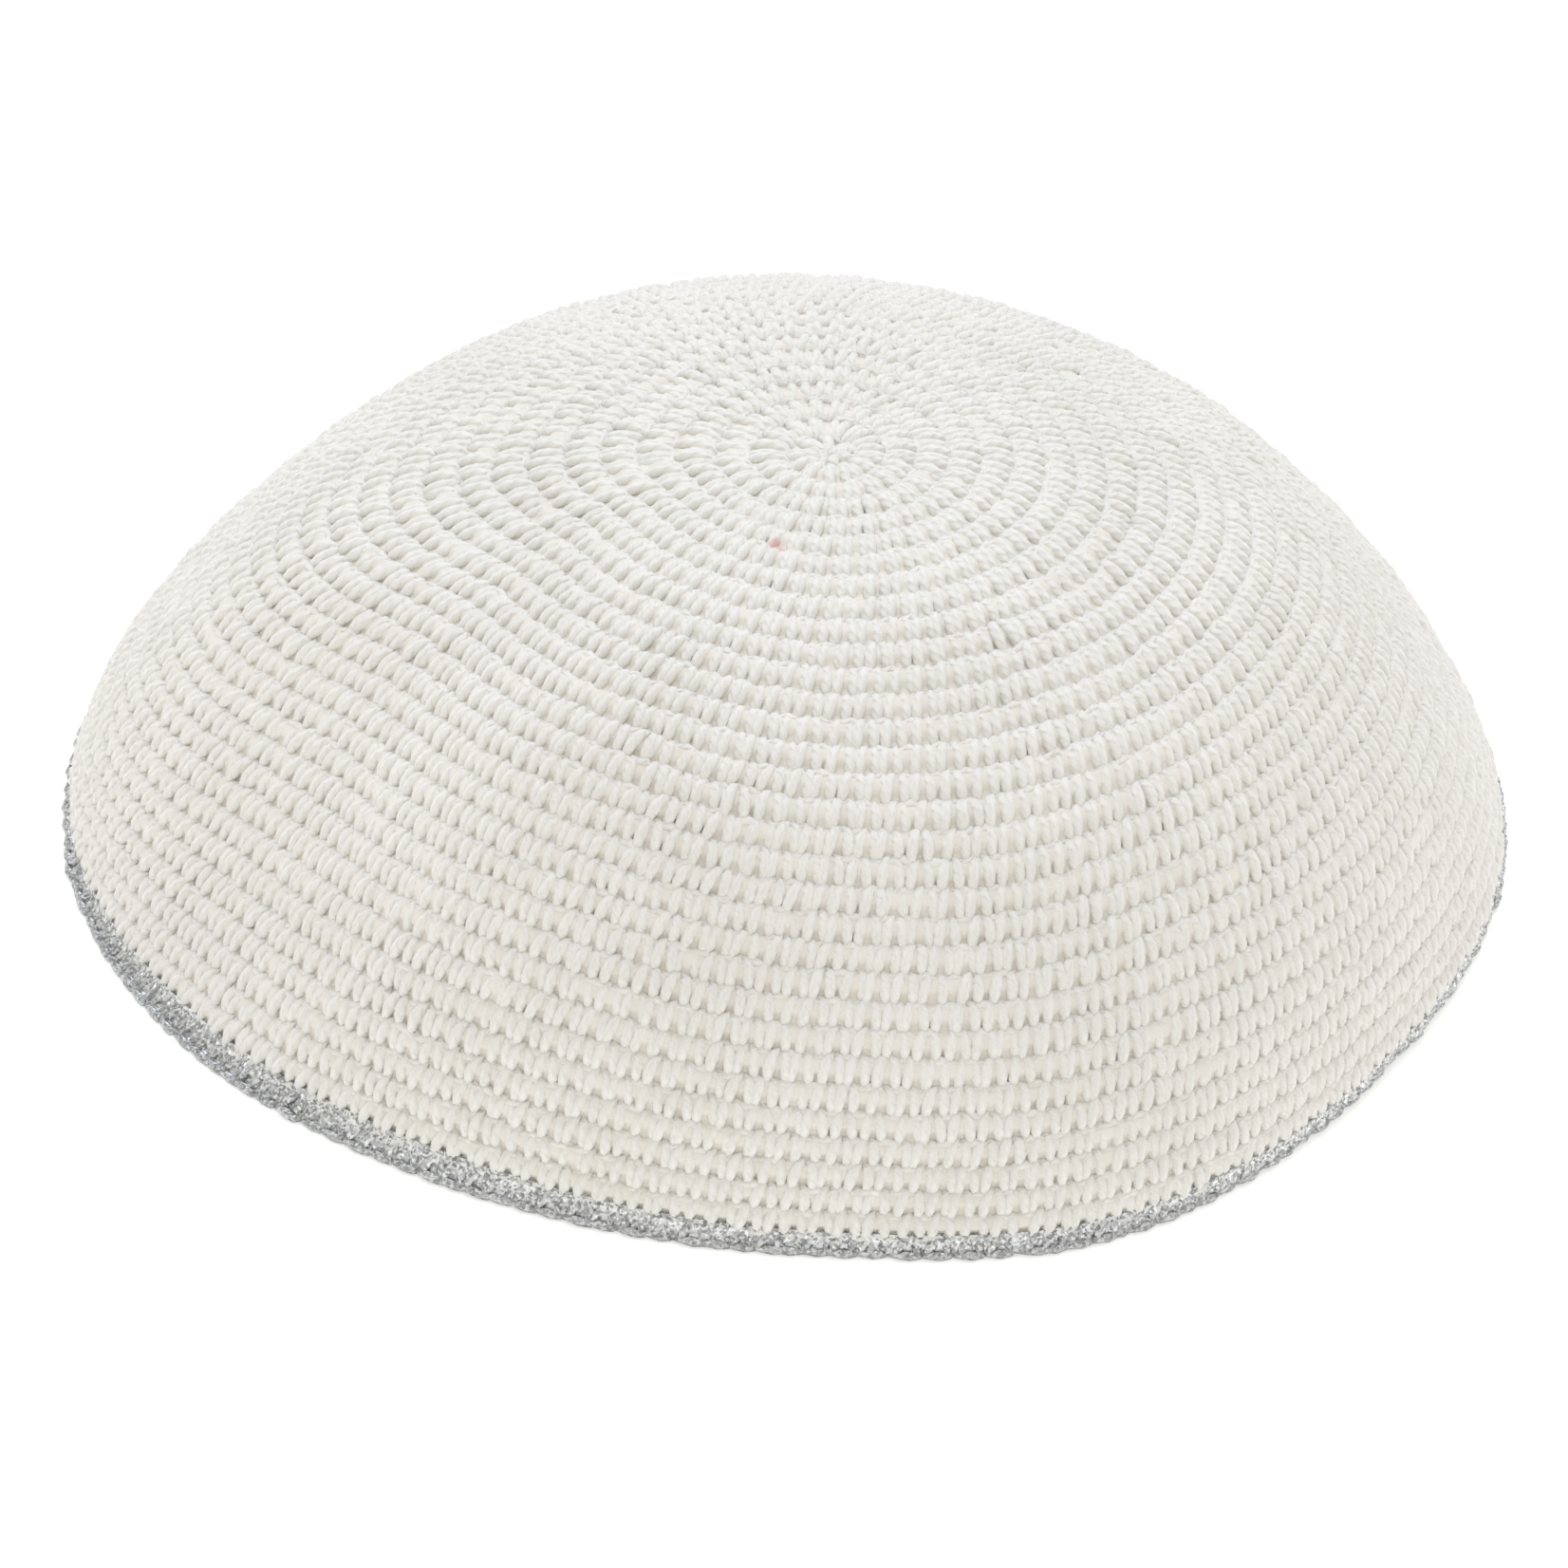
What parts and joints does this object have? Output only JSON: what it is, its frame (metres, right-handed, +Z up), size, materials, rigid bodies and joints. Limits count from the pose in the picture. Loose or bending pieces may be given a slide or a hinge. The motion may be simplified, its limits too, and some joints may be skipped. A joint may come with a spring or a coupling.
{
  "type": "kippah skullcap",
  "caption": "Small rimless crocheted cotton skullcap: a soft shallow dome, hollow below, with a narrow metallic yarn edging round its rim.",
  "frame": {"origin": "on the surface that the rim rests on, under the middle of the cap's outline", "axes": "+Z up through the crown, -Y towards the side that the picture shows in front, +X to that side's right"},
  "size_m": [0.1736, 0.1674, 0.0571],
  "materials": {
    "crown_cotton": "off-white crocheted cotton, matt",
    "edging_lurex": "silver metallic yarn, glinting"
  },
  "bodies": {
    "root": {"crown": "crown_cotton", "edging": "edging_lurex"}
  },
  "joints": []
}
